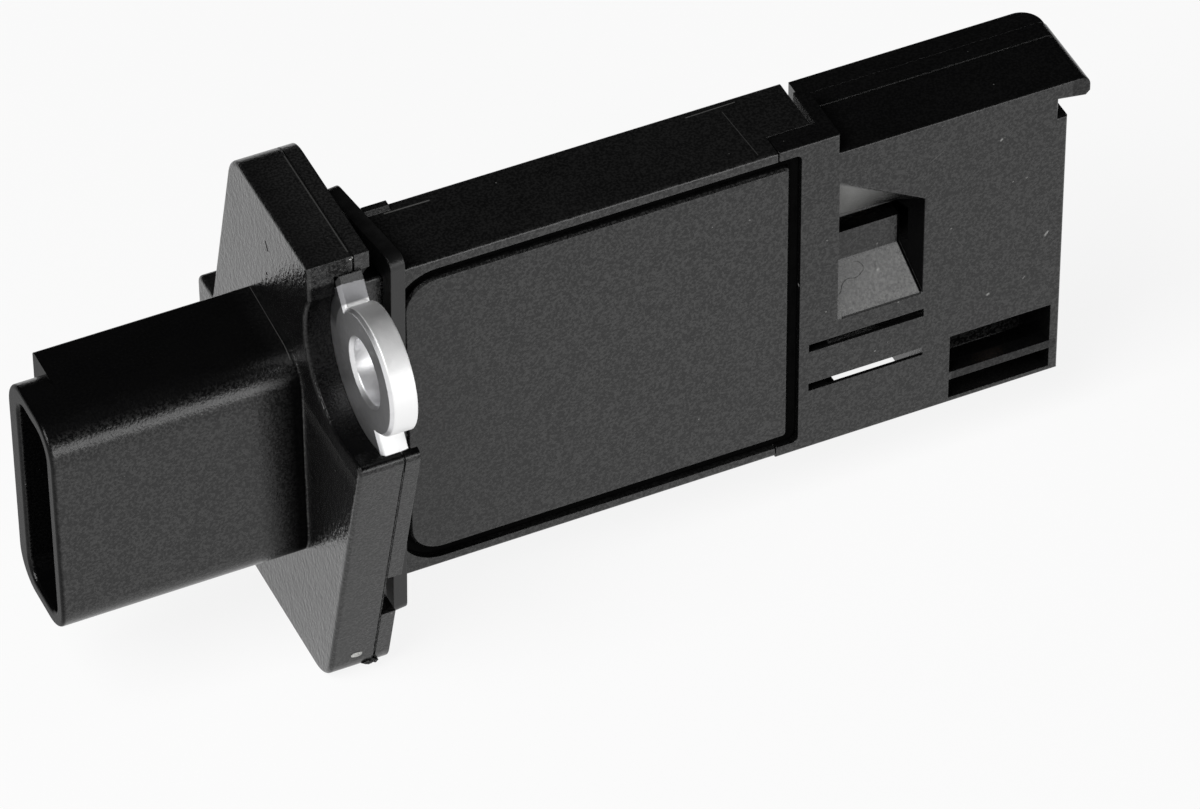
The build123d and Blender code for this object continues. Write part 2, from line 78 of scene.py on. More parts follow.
# Share of grey film on the socket, and what the body and the flange add to it.
SOCKET_FILM = 0.008
BODY_FILM = 0.045
FLANGE_FILM = 0.03


def in_mm(*values):
    """Millimetres as metres."""
    return tuple(value * MM for value in values)


def set_socket(socket, value):
    """Links a Shade to a node's socket, or writes a plain value on it."""
    if isinstance(value, Shade):
        value.tree.links.new(value.socket, socket)
    else:
        socket.default_value = value


class Shade:
    """A value, vector or colour in a material's nodes; + - * / on values add Math nodes."""

    def __init__(self, tree, socket=None):
        self.tree = tree
        self.socket = socket

    def node(self, kind, settings, sockets, output=0):
        """Adds one node: its settings first, a ramp's stops among them, then its sockets."""
        made = self.tree.nodes.new("ShaderNode" + kind)
        for name, value in settings.items():
            if name == "stops":
                ramp = made.color_ramp.elements
                while len(ramp) < len(value):
                    ramp.new(0.5)
                for element, (position, colour) in zip(ramp, value):
                    element.position = position
                    element.color = colour
            else:
                setattr(made, name, value)
        for name, value in sockets.items():
            set_socket(made.inputs[name], value)
        return Shade(self.tree, made.outputs[output])

    def other(self, output):
        """Another output of the same node."""
        return Shade(self.tree, self.socket.node.outputs[output])

    def axes(self):
        """The X, Y and Z values of this vector."""
        split = self.node("SeparateXYZ", {}, {"Vector": self}, "X")
        return split, split.other("Y"), split.other("Z")

    def maths(self, operation, first, second=0.0):
        """One Math node on two values."""
        return self.node("Math", {"operation": operation}, {0: first, 1: second})

    def __add__(self, value):
        return self.maths("ADD", self, value)

    def __radd__(self, value):
        return self.maths("ADD", value, self)

    def __sub__(self, value):
        return self.maths("SUBTRACT", self, value)

    def __rsub__(self, value):
        return self.maths("SUBTRACT", value, self)

    def __mul__(self, value):
        return self.maths("MULTIPLY", self, value)

    def __rmul__(self, value):
        return self.maths("MULTIPLY", value, self)

    def __truediv__(self, value):
        return self.maths("DIVIDE", self, value)

    def __rtruediv__(self, value):
        return self.maths("DIVIDE", value, self)

    def __abs__(self):
        return self.maths("ABSOLUTE", self)

    def clamped(self):
        """The value held between 0 and 1."""
        return self.node("Clamp", {}, {"Value": self})

    def mix(self, low, high):
        """A colour between low and high, by this value."""
        return self.node("Mix", {"data_type": "RGBA"}, {0: self, 6: low, 7: high}, 2)


def start_material(name):
    """A new material with a surface shader; gives it, its shader node and its Object coordinates."""
    material = bpy.data.materials.new(name)
    material.use_nodes = True
    tree = material.node_tree
    tree.nodes.clear()
    end = tree.nodes.new("ShaderNodeOutputMaterial")
    shader = tree.nodes.new("ShaderNodeBsdfPrincipled")
    tree.links.new(shader.outputs[0], end.inputs["Surface"])
    place = Shade(tree).node("TexCoord", {}, {}, "Object")
    return material, shader, place


def finish_material(shader, **sockets):
    """Links or sets the shader's sockets, named with _ for each space."""
    for name, value in sockets.items():
        set_socket(shader.inputs[name.replace("_", " ")], value)


def blend_shaders(share, shader, second):
    """Lets a second shader take over a material's surface by a share."""
    tree = share.tree
    first = Shade(tree, shader.outputs[0])
    both = share.node("MixShader", {}, {"Fac": share, 1: first, 2: second})
    end = next(node for node in tree.nodes if node.bl_idname == "ShaderNodeOutputMaterial")
    tree.links.new(both.socket, end.inputs["Surface"])


def past(value, edge, soft):
    """Mask that rises from 0 to 1 over soft metres beyond an edge."""
    return ((value - edge) / soft).clamped()


def short_of(value, edge, soft):
    """Mask that falls from 1 to 0 over the last soft metres before an edge."""
    return ((edge - value) / soft).clamped()


def within(offset, reach, soft):
    """Mask of offsets smaller than reach to either side, fading over soft metres."""
    return ((reach - abs(offset)) / soft).clamped()


def boxed(place, low, high, soft):
    """Mask of the points between two corners, fading over soft metres inside each side."""
    mask = 1.0
    for along, least, most in zip(place.axes(), low, high):
        mask = mask * past(along, least, soft) * short_of(along, most, soft)
    return mask


def distance(first, second):
    """The root of the sum of two offsets' squares."""
    return first.maths("SQRT", first * first + second * second)


def noise(place, size, detail, roughness):
    """Cloudy noise from 0 to 1 whose largest lumps are about size metres."""
    sockets = {"Vector": place, "Scale": 1 / size, "Detail": detail, "Roughness": roughness}
    return place.node("TexNoise", {}, sockets)


def drawn_noise(place, size, stretch, detail, roughness):
    """Noise whose lumps are stretched by the three factors along X, Y and Z."""
    scale = tuple(1 / factor for factor in stretch)
    stretched = place.node("Mapping", {}, {"Vector": place, "Scale": scale})
    return noise(stretched, size, detail, roughness)


def specks(place, spacing, radius, share):
    """Mask of round specks: one in each Voronoi cell of a share of them, up to radius metres."""
    cell = place.node("TexVoronoi", {}, {"Vector": place, "Scale": 1 / spacing})
    pick = place.node("SeparateColor", {}, {"Color": cell.other("Color")}, "Red")
    size = ((pick - (1 - share)) / share).clamped() * (radius / spacing)
    return ((size - cell) * (2.5 * spacing / radius)).clamped()


def streak(place, face, start, end, width):
    """Mask of a straight mark: nearness to a line on a face's two axes, cut off at its ends."""
    first_axis, second_axis, half_axis, sign = face
    parts = dict(zip("XYZ", place.axes()))
    first = parts[first_axis] - start[0]
    second = parts[second_axis] - start[1]
    length = math.hypot(end[0] - start[0], end[1] - start[1])
    turn = ((end[0] - start[0]) / length, (end[1] - start[1]) / length)
    along = first * turn[0] + second * turn[1]
    across = abs(first * turn[1] - second * turn[0])
    inside = (along / width).clamped() * short_of(along, length, width)
    half = (parts[half_axis] * (sign / MM)).clamped()
    return (1 - across / width).clamped() * inside * half


def bumped(place, strength, depth, height, edge_radius=None):
    """A normal from a height, over edges rounded by a radius where one is given."""
    sockets = {"Strength": strength, "Distance": depth, "Height": height}
    if edge_radius:
        rounded = place.node("Bevel", {"samples": EDGE_SAMPLES}, {"Radius": edge_radius}, "Normal")
        sockets["Normal"] = rounded
    return place.node("Bump", {}, sockets)


def moulded_plastic(name, film, dull=None, relief=None, marks=(), painted_light_and_grains=None):
    """Black moulded plastic with a satin grain and softened edges.

    A patchy grey film and the grain lighten the black, the grain more on upright faces as a
    painted sheen. Pale specks of dust, light scratches, painted highlights and painted light lie on
    it. A matte black shader with no reflection takes over in cuts, on a painted shadow line and in
    painted shade.
    """
    material, shader, place = start_material(name)
    fine = noise(place, GRAIN_SIZE, 1.0, 0.5)
    coarse = noise(place, LUMP_SIZE, 2.0, 0.5)
    cloud = noise(place, CLOUD_SIZE, 4.0, 0.6)
    rubbed = drawn_noise(place, RUB_SIZE, RUB_STRETCH, 4.0, 0.65)
    patch = ((cloud * 0.6 + rubbed * 0.7 - 0.40) * 2.0).clamped()
    share = film(place) if callable(film) else film
    front = place.node("NewGeometry", {}, {}, "Normal").axes()[1]
    upright = ((abs(front) - 0.55) * 3.0).clamped()
    # Grain lightened more on faces turned to the front or back: real grain with a painted sheen.
    grain_and_painted_sheen = ((fine - 0.5) * 5.0 + 0.4).clamped() * (upright + share * 4.0)
    grey = (share * (0.55 + patch * 0.9) * (0.5 + fine) + grain_and_painted_sheen * 0.32).clamped()
    # Pale colour for dust specks, light scratches, painted highlights and painted light.
    dust_and_painted_light = (specks(place, *SMALL_DUST) * 0.5 + specks(place, *LARGE_DUST) * 0.8).clamped()
    if painted_light_and_grains:
        dust_and_painted_light = (dust_and_painted_light + painted_light_and_grains(place)).clamped()
    height = fine + coarse * 0.3
    if relief:
        height = height - relief(place)
    # Share of a matte black shader: the painted shade given, and cuts, one of them a painted shadow
    # line.
    painted_shade_and_cuts = dull(place) if dull else 0.0
    for face, start, end, width, strength in marks:
        mark = streak(place, face, in_mm(*start), in_mm(*end), width * MM)
        if strength > 0:
            dust_and_painted_light = (dust_and_painted_light + mark * strength).clamped()
        else:
            cut_and_painted_shadow = (mark * CUT_SHARPNESS).clamped()
            height = height - cut_and_painted_shadow * CUT_DEPTH
            painted_shade_and_cuts = painted_shade_and_cuts - cut_and_painted_shadow * strength
    base = dust_and_painted_light.mix(grey.mix(BLACK, GREY_FILM), DUST_AND_PAINTED_LIGHT)
    roughness = SATIN_ROUGHNESS + patch * 0.06 + (fine - 0.5) * 0.05 + dust_and_painted_light * 0.4
    normal = bumped(place, 1.0, GRAIN_DEPTH, height, MOULDED_EDGE_R)
    finish_material(shader, Base_Color=base, Roughness=roughness, Normal=normal, IOR=PLASTIC_IOR)
    if dull:
        sockets = {"Base Color": BLACK, "Roughness": MATTE_ROUGHNESS, "Specular IOR Level": 0.0}
        blend_shaders(painted_shade_and_cuts.clamped(), shader, place.node("BsdfPrincipled", {}, sockets))
    return material


def dress(material, *nodes):
    """Gives CAD nodes a material."""
    for node in nodes:
        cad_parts[node].material_slots[0].material = material


FACE_RUB_SIZE = 0.4 * MM
FACE_RUB_STRETCH = (1.0, 1.0, 1.4)
FACE_RUB_DEPTH = 3.6
BODY_FROM_X = -7 * MM
FLANGE_FACE_X = -5.05 * MM
MOUTH_X = -25.2 * MM
SOCKET_BOX = (in_mm(-25.3, -4.15, -9.45), in_mm(-9.0, 1.95, 9.25))
RAIL_END = in_mm(-22.95, 0.5, 4.0)
ROOT_FROM_X = -9.0 * MM
ROOT_TO_X = -5.15 * MM
ROOT_Y = -4.0 * MM
BUSH_Y = 12.4 * MM
BUSH_Z = 14.5 * MM
NOTCH_R = 7.3 * MM
# A point in mm on the flange's front edge, as Y and Z, and the edge's outward direction.
EDGE_TOP = (-16.0, 7.6)
EDGE_OUT = (-0.962, -0.271)


def housing_film(place):
    """Share of grey film: least on the socket, more on the body, most on the flange."""
    x = place.axes()[0]
    body = past(x, BODY_FROM_X, 5 * MM)
    flange = body * (1 - past(x, 0.0, 1.5 * MM))
    return SOCKET_FILM + body * BODY_FILM + flange * FLANGE_FILM


def face_rubs(place):
    """Height of fine short rubs down the flange's outer face."""
    face = within(place.axes()[0] - FLANGE_FACE_X, 0.30 * MM, 0.12 * MM)
    rubs = drawn_noise(place, FACE_RUB_SIZE, FACE_RUB_STRETCH, 2.0, 0.6)
    return face * rubs * FACE_RUB_DEPTH


def housing_painted_shade(place):
    """Share of painted shade, a matte black shader: each recess or edge is a mask times its own share.

    They are the socket's mouth, its inside, the guide rail's end, the corner between the socket
    and the flange, the notches round the two bushes and the flange's front edge.
    """
    x, y, z = place.axes()
    mouth = short_of(x, MOUTH_X, 0.2 * MM)
    socket = boxed(place, *SOCKET_BOX, 0.15 * MM)
    rail = within(x - RAIL_END[0], 0.10 * MM, 0.05 * MM)
    rail = rail * past(y, RAIL_END[1], 0.2 * MM) * past(z, RAIL_END[2], 0.2 * MM)
    root = past(x, ROOT_FROM_X, 3.2 * MM) * short_of(x, ROOT_TO_X, 0.05 * MM)
    root = root * short_of(y, ROOT_Y, 1.0 * MM)
    radius = distance(y * z.maths("SIGN", z) + BUSH_Y, abs(z) - BUSH_Z)
    notch = short_of(radius, NOTCH_R, 0.2 * MM) * past(x, FLANGE_FACE_X, 0.3 * MM)
    outward = (y - EDGE_TOP[0] * MM) * EDGE_OUT[0] + (z - EDGE_TOP[1] * MM) * EDGE_OUT[1]
    edge = within(outward, 0.25 * MM, 0.1 * MM)
    return mouth * 0.65 + socket * 0.9 + rail * 0.7 + root * 0.95 + notch * 0.8 + edge * 0.2


# A marked face: the two axes that its marks lie in, then the axis and sign of the half that has them.
TOP = ("X", "Y", "Z", 1)
FRONT = ("X", "Z", "Y", -1)
LEFT_END = ("Y", "Z", "Z", 1)
# Marks: face, start, end and width in mm, and strength, which is below zero for a matte cut.
HOUSING_MARKS_AND_HIGHLIGHTS = (
    (TOP, (4.99, 1.98), (8.88, 1.94), 0.10, 0.30),
    (TOP, (30.57, 2.34), (34.87, 2.41), 0.06, 0.28),
    (TOP, (33.46, 1.76), (33.78, -3.98), 0.05, 0.12),
    # A painted highlight along the parting line on the flange's top edge.
    (TOP, (-1.47, 5.6), (-1.47, -6.6), 0.09, 0.14),
    (LEFT_END, (1.15, 17.76), (0.64, 16.96), 0.16, -0.9),
    (LEFT_END, (1.10, 14.55), (1.04, 14.25), 0.18, -0.9),
    # Two painted highlights along the crease where the socket meets the flange.
    (TOP, (-5.20, 4.8), (-5.45, -4.0), 0.06, 0.14),
    (FRONT, (-5.09, 6.9), (-5.18, -1.5), 0.06, 0.14),
)
housing_black = moulded_plastic("housing_black", housing_film, housing_painted_shade, face_rubs, HOUSING_MARKS_AND_HIGHLIGHTS)
dress(housing_black, "main_housing")

# Mould flash and gate
# A ragged fin of resin that crept into the mould's parting line on the flange's front edge, torn
# bits of it at the flange's two front corners, the top one pale as a painted highlight, and the pale
# stub where the gate was snapped off.
FLASH_X = -1.29
FLASH_START = np.array(EDGE_TOP)
FLASH_END = np.array([-8.35, -19.4])
FLASH_OUT = np.array(EDGE_OUT)
FLASH_ROOT = -0.20
FLASH_HALF = 0.055
FLASH_STEPS = 420
FLASH_SEED = 7
# The fin's section: how far out each point stands, as a share of the crest, and to which side.
FIN_OUT = np.array([0.0, 0.6, 1.0, 0.6])
FIN_SIDE = np.array([0.0, 1.0, 0.25, -1.0])
LEAST_CREST = 0.02
RAGGED_CREST = 0.10
CORNER_CREST = 0.16
CORNER_FROM = 0.72
END_FADE = 25
WANDER = 0.02
# Waves along the fin's crest and along its line: the first one's count, and how many there are.
CREST_WAVES = (9.0, 14)
WANDER_WAVES = (5.0, 10)
WAVE_PEAK = 2.2
CRUMB_GRID = (18, 28)
CRUMB_WAVES = 5
WELD_DISTANCE = 1e-7
PALE_STUB = (0.62, 0.62, 0.60, 1.0)
STUB_GREY = (0.30, 0.30, 0.29, 1.0)


def woven_piece(name, points, material, wrap_rows, wrap_columns):
    """A mesh of quads between neighbours on a grid of points in mm, joined round on wrapped sides."""
    rows, columns = points.shape[:2]
    index = np.arange(rows * columns).reshape(rows, columns)
    if wrap_rows:
        index = np.vstack([index, index[:1]])
    if wrap_columns:
        index = np.hstack([index, index[:, :1]])
    corners = [index[:-1, :-1], index[1:, :-1], index[1:, 1:], index[:-1, 1:]]
    quads = np.stack(corners, axis=-1).reshape(-1, 4)
    mesh = bpy.data.meshes.new(name)
    mesh.from_pydata((points.reshape(-1, 3) * MM).tolist(), [], quads.tolist())
    welded = bmesh.new()
    welded.from_mesh(mesh)
    bmesh.ops.remove_doubles(welded, verts=welded.verts, dist=WELD_DISTANCE)
    bmesh.ops.recalc_face_normals(welded, faces=welded.faces)
    welded.to_mesh(mesh)
    welded.free()
    mesh.shade_smooth()
    mesh.materials.append(material)
    piece = bpy.data.objects.new(name, mesh)
    bpy.context.scene.collection.objects.link(piece)
    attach(piece, "root")
    return piece


def ragged(count, first, lumps, draw):
    """Values from 0 to 1 along a line: cosines of falling strength and drawn phases, cut off below 0."""
    along = np.linspace(0.0, 1.0, count)[:, None]
    orders = np.arange(1, lumps + 1)
    phases = draw.uniform(0.0, 2 * np.pi, (1, lumps))
    waves = np.cos(2 * np.pi * (orders[None, :] * first) * along + phases) / np.sqrt(orders)
    return np.clip(waves.sum(axis=1) / WAVE_PEAK, 0.0, 1.0)


def flash_fin(count):
    """Section carried along the parting line: a thin wedge whose crest stands out by a ragged height."""
    draw = np.random.default_rng(FLASH_SEED)
    along = np.linspace(0.0, 1.0, count)
    fade = np.clip(np.minimum(along, 1 - along) * END_FADE, 0.0, 1.0)
    near_corner = np.clip((along - CORNER_FROM) / (1 - CORNER_FROM), 0.0, 1.0)
    height = RAGGED_CREST + CORNER_CREST * near_corner
    crest = LEAST_CREST + height * ragged(count, *CREST_WAVES, draw)
    reach = FLASH_ROOT + FIN_OUT * (crest - FLASH_ROOT)[:, None] * fade[:, None]
    side = FIN_SIDE * FLASH_HALF * fade[:, None]
    wander = WANDER * (ragged(count, *WANDER_WAVES, draw) - 0.3)
    line = FLASH_START + (FLASH_END - FLASH_START) * along[:, None]
    points = np.empty((count, len(FIN_OUT), 3))
    points[..., 0] = FLASH_X + side + (wander * fade)[:, None]
    points[..., 1:] = line[:, None, :] + FLASH_OUT * reach[..., None]
    return points


def crumb(centre, radii, seed, roughness):
    """Ball stretched to three radii, pushed in and out by drawn waves over its two angles."""
    draw = np.random.default_rng(seed)
    rows, columns = CRUMB_GRID
    down = np.linspace(0, np.pi, rows)
    around = np.linspace(0, 2 * np.pi, columns, False)
    polar, turn = np.meshgrid(down, around, indexing="ij")
    orders = np.arange(1, CRUMB_WAVES + 1)[:, None, None]
    phases = draw.uniform(0, 2 * np.pi, (2, CRUMB_WAVES, 1, 1))
    waves = np.cos(orders * turn + phases[0]) * np.sin(orders * polar + phases[1]) / orders
    radius = 1 + roughness * waves.sum(axis=0) * np.sin(polar)
    ball = [np.cos(polar), np.sin(polar) * np.cos(turn), np.sin(polar) * np.sin(turn)]
    return np.array(centre) + np.stack(ball, axis=-1) * radius[..., None] * np.array(radii)


def turned_to_edge(points, centre):
    """Points turned about the X direction, so that local Y lies along the edge's outward direction."""
    moved = points - np.array(centre)
    turned = moved.copy()
    turned[..., 1] = moved[..., 1] * FLASH_OUT[0] - moved[..., 2] * FLASH_OUT[1]
    turned[..., 2] = moved[..., 1] * FLASH_OUT[1] + moved[..., 2] * FLASH_OUT[0]
    return turned + np.array(centre)


def snapped_stub(name):
    """Stress-whitened resin: pale, torn in fine lumps, darker between them."""
    material, shader, place = start_material(name)
    lumps = noise(place, 0.18 * MM, 4.0, 0.65)
    base = ((lumps - 0.35) * 3.0).clamped().mix(STUB_GREY, PALE_STUB)
    normal = bumped(place, 0.7, 0.04 * MM, lumps)
    finish_material(shader, Base_Color=base, Roughness=0.45 + lumps * 0.2, Normal=normal)
    return material


flash_points = flash_fin(FLASH_STEPS)
woven_piece("parting_flash", flash_points, housing_black, False, True)
snapped_resin = snapped_stub("snapped_resin")
# Torn bits: name, centre and radii in mm, seed, roughness, whether turned to the edge, and finish.
TORN_BITS = (
    ("flash_crumb_1", (-1.75, -8.18, -20.02), (0.38, 0.22, 0.20), 3, 0.55, True, housing_black),
    ("flash_crumb_2", (-1.15, -8.12, -20.10), (0.30, 0.24, 0.16), 5, 0.55, True, housing_black),
    # A pale crumb on the flange's top front corner: a painted highlight on a small bump.
    ("crumb_painted_glint", (-1.5, -6.95, 21.12), (0.24, 0.18, 0.18), 13, 0.22, False, snapped_resin),
    ("gate_stub", (-2.85, -8.66, -18.34), (0.48, 0.12, 0.30), 11, 0.18, True, snapped_resin),
)
for bit_name, bit_centre, bit_radii, bit_seed, bit_roughness, bit_turned, bit_finish in TORN_BITS:
    bit_points = crumb(bit_centre, bit_radii, bit_seed, bit_roughness)
    if bit_turned:
        bit_points = turned_to_edge(bit_points, bit_centre)
    woven_piece(bit_name, bit_points, bit_finish, False, True)

# Flange bushes
# Stamped mild-steel eyes with a bright zinc plate, laid in the mould so the flange can't be crushed.
ZINC = (0.80, 0.80, 0.81, 1.0)
ZINC_DULL = (0.50, 0.50, 0.52, 1.0)
ZINC_PAINTED_HIGHLIGHT = (0.95, 0.95, 0.95, 1.0)
ZINC_SHEARED = (0.30, 0.30, 0.31, 1.0)
SIDE_R = 4.97 * MM
EYE_R = 5.25 * MM
SKIN_R = 6.75 * MM
SIDE_X = -2.7 * MM
STEEL_EDGE_R = 0.12 * MM


def plated_steel(name):
    """Bright zinc with drawn lines and dull spots, set by the distance from the bush's axis.

    The eye's side is whiter, a painted highlight; the plate past the eye is sheared and dull, and resin
    covers its ends.
    """
    material, shader, place = start_material(name)
    cloud = noise(place, 1.6 * MM, 4.0, 0.6)
    fine = noise(place, 0.22 * MM, 3.0, 0.6)
    spots = specks(place, 0.9 * MM, 0.24 * MM, 0.3)
    lines = drawn_noise(place, 0.35 * MM, (0.2, 1.0, 1.0), 3.0, 0.7)
    dull = (((cloud - 0.45) * 2.2).clamped() * 0.6 + spots * 0.4).clamped()
    x, y, z = place.axes()
    off_z = abs(z) - BUSH_Z
    radius = distance(abs(y) - BUSH_Y, off_z)
    # Mask of the eye's side, where a painted highlight whitens the zinc.
    side = past(radius, SIDE_R, 0.05 * MM) * past(x, SIDE_X, 0.1 * MM)
    plate = past(radius, EYE_R, 0.15 * MM) * (off_z / (1.0 * MM)).clamped()
    skin = ((radius - SKIN_R + (cloud - 0.5) * (0.5 * MM)) / (0.06 * MM)).clamped()
    bright = side.mix(dull.mix(ZINC, ZINC_DULL), ZINC_PAINTED_HIGHLIGHT)
    base = skin.mix(plate.mix(bright, ZINC_SHEARED), BLACK)
    roughness = 0.34 + side * 0.16 + cloud * 0.12 + (lines - 0.5) * 0.12 + spots * 0.12 - skin * 0.3
    normal = bumped(place, 0.35, 0.03 * MM, fine * 0.5 + lines * 0.5, STEEL_EDGE_R)
    finish_material(shader, Base_Color=base, Roughness=roughness, Normal=normal, Metallic=1 - skin)
    return material


dress(plated_steel("bright_zinc"), "front_bush", "rear_bush")

# Terminals
# Five tin-plated brass blades, cut from strip and pressed through the housing into the plug socket.
TIN = (0.70, 0.68, 0.63, 1.0)
BRASS = (0.62, 0.44, 0.20, 1.0)
TERMINAL_COUNT = 5


def tinned_brass(name):
    """Tin plate with rubbed patches that let the brass through, and drawn lines along the blade."""
    material, shader, place = start_material(name)
    lines = drawn_noise(place, 0.12 * MM, (12.0, 1.0, 1.0), 3.0, 0.7)
    worn = ((noise(place, 3.0 * MM, 4.0, 0.65) - 0.55) * 5.0).clamped()
    base = (worn * 0.8).mix(TIN, BRASS)
    roughness = 0.24 + lines * 0.16 + worn * 0.08
    normal = bumped(place, 0.2, 0.01 * MM, lines)
    finish_material(shader, Base_Color=base, Roughness=roughness, Normal=normal, Metallic=1.0)
    return material


terminals = [f"terminal_{number + 1}" for number in range(TERMINAL_COUNT)]
dress(tinned_brass("tinned_brass"), *terminals)

# Circuit board and its parts
# A thick-film ceramic board glued to the bay floor, with one moulded chip, capacitors and a resistor
# that was trimmed after printing.
ALUMINA = (0.74, 0.72, 0.66, 1.0)
TRACK = (0.50, 0.49, 0.46, 1.0)
RESIN = (0.012, 0.012, 0.013, 1.0)
RESIN_GREY = (0.05, 0.05, 0.052, 1.0)
FILM_RESIST = (0.015, 0.02, 0.018, 1.0)
FILM_GLAZE = (0.05, 0.09, 0.07, 1.0)
CAP_BODY = (0.36, 0.25, 0.16, 1.0)
CAP_PALE = (0.48, 0.36, 0.25, 1.0)
CAP_COUNT = 4
TRACK_SIZE = 3.1 * MM
FIRED_DEPTH = 0.02 * MM


def fired_ceramic(name, low, high, size, rough, relief):
    """Fired or moulded body: fine speckle between two tones, slight unevenness in gloss and height."""
    material, shader, place = start_material(name)
    speckle = noise(place, size, 4.0, 0.65)
    cloud = noise(place, 12 * size, 3.0, 0.5)
    base = ((speckle * 0.7 + cloud * 0.5 - 0.25) * 1.3).clamped().mix(low, high)
    roughness = rough + (speckle - 0.5) * 0.2
    normal = bumped(place, relief, FIRED_DEPTH, speckle)
    finish_material(shader, Base_Color=base, Roughness=roughness, Normal=normal)
    return material


def printed_ceramic(name):
    """Alumina with printed conductor tracks: bands where a stretched brick pattern has its joints."""
    material, shader, place = start_material(name)
    x, _, z = place.axes()
    tracks = place.node(
        "TexBrick",
        {"offset": 0.37, "squash": 0.6, "squash_frequency": 3},
        {
            "Vector": place.node("CombineXYZ", {}, {"X": x, "Y": z}),
            "Scale": 1 / TRACK_SIZE,
            "Mortar Size": 0.06,
            "Mortar Smooth": 0.0,
            "Brick Width": 1.4,
            "Row Height": 0.55,
        },
        "Fac",
    )
    speckle = noise(place, 0.15 * MM, 3.0, 0.6)
    base = tracks.mix((speckle * 0.35).mix(ALUMINA, TRACK), TRACK)
    roughness = 0.55 - tracks * 0.2 + (speckle - 0.5) * 0.1
    normal = bumped(place, 0.4, FIRED_DEPTH, tracks + speckle * 0.2)
    finish_material(shader, Base_Color=base, Roughness=roughness, Normal=normal)
    return material


capacitors = [f"capacitor_{number + 1}" for number in range(CAP_COUNT)]
dress(printed_ceramic("printed_alumina"), "circuit_board")
dress(fired_ceramic("chip_resin", RESIN, RESIN_GREY, 0.12 * MM, 0.55, 0.5), "signal_chip")
dress(fired_ceramic("resistor_glaze", FILM_RESIST, FILM_GLAZE, 0.3 * MM, 0.25, 0.2), "trimmed_resistor")
dress(fired_ceramic("capacitor_body", CAP_BODY, CAP_PALE, 0.2 * MM, 0.45, 0.3), *capacitors)

# Flow element
# An alumina tongue cemented in the bay's end wall, with a glazed platinum film on it that is heated
# in the flow.
GLAZE = (0.30, 0.22, 0.16, 1.0)
GLAZE_PALE = (0.45, 0.38, 0.30, 1.0)
dress(fired_ceramic("element_alumina", ALUMINA, TRACK, 0.1 * MM, 0.5, 0.4), "element_tongue")
dress(fired_ceramic("film_glaze", GLAZE, GLAZE_PALE, 0.25 * MM, 0.12, 0.1), "heated_film")

# Bypass tip
# Shell with hood, scoop, slots and pocket, and its back cover, moulded in the same black resin.
# The two halves are welded together and lap over the end of the housing.
TIP_FILM = 0.02
FRONT_FACE_Y = -4.5 * MM
SCOOP_FROM_X = 41.0 * MM
SCOOP_TO_X = 48.2 * MM
RAMP_FROM_Z = -3.6 * MM
RAMP_TO_Z = 1.0 * MM
RAMP_FOOT_Z = -3.35 * MM
RAMP_RISE = 0.6
RAMP_BOX = (in_mm(40.0, -4.45, -3.3), in_mm(48.2, -2.15, 0.7))
ROOF_BOX = (in_mm(40.0, -4.45, 5.1), in_mm(46.5, -2.05, 11.2))
ROOF_LIGHT_END_X = 45.6 * MM
WALL_X = 48.0 * MM
WALL_LEAN = 2.4
WALL_BOX = (in_mm(46.0, -4.46, -3.4), in_mm(48.5, -2.0, 6.8))
RIB_BOX = (in_mm(50.9, -4.6, -13.75), in_mm(60.2, -3.2, -12.75))
HOOD_END_BOX = (in_mm(60.7, -5.6, 12.0), in_mm(62.6, -4.0, 14.4))
# Marks as on the housing: two scratches, spots of dust, and a matte cut along the scoop's lower lip that
# is a painted shadow line.
TIP_MARKS_AND_SHADOW_LINE = (
    (FRONT, (48.41, 10.13), (49.69, 10.99), 0.05, 0.22),
    (FRONT, (50.9, 1.3), (51.6, 0.2), 0.05, 0.10),
    (FRONT, (54.50, 10.08), (54.78, 10.34), 0.13, 0.90),
    (FRONT, (58.78, -1.42), (59.16, -0.88), 0.13, 0.90),
    (FRONT, (53.74, -5.80), (54.10, -5.60), 0.15, 0.95),
    (FRONT, (55.70, 5.40), (55.90, 5.50), 0.09, 0.60),
    (FRONT, (56.90, 5.38), (57.12, 5.48), 0.09, 0.60),
    (FRONT, (50.34, 2.49), (50.54, 2.59), 0.09, 0.60),
    (FRONT, (56.95, -5.30), (57.19, -4.96), 0.07, 0.50),
    (FRONT, (44.70, -0.94), (44.98, -0.74), 0.13, 0.90),
    (FRONT, (45.09, 1.00), (45.29, 1.10), 0.09, 0.60),
    (FRONT, (45.85, -3.55), (46.05, -3.45), 0.09, 0.60),
    # A painted shadow line at the foot of the scoop's ramp, as a matte cut.
    (FRONT, (41.00, -3.30), (48.00, -3.30), 0.07, -0.7),
)


def curled_scratches(place, size, width, rarity):
    """Mask of fine curls: bands where one noise passes its middle, kept where another is high."""
    curl = abs(noise(place, size, 1.0, 0.4) - 0.5)
    kept = ((noise(place, 1.7 * size, 1.0, 0.4) - rarity) * 14.0).clamped()
    return (1 - curl / width).clamped() * kept


def scoop_scratches(place):
    """Depth of fine curled scratches on the scoop's ramp."""
    x, y, z = place.axes()
    inside = short_of(x, SCOOP_TO_X, 0.4 * MM) * past(x, SCOOP_FROM_X, 0.4 * MM)
    inside = inside * past(z, RAMP_FROM_Z, 0.4 * MM) * short_of(z, RAMP_TO_Z, 0.4 * MM)
    deep = past(y, -4.45 * MM, 0.1 * MM)
    return curled_scratches(place, 2.4 * MM, 0.006, 0.56) * inside * deep * 2.0


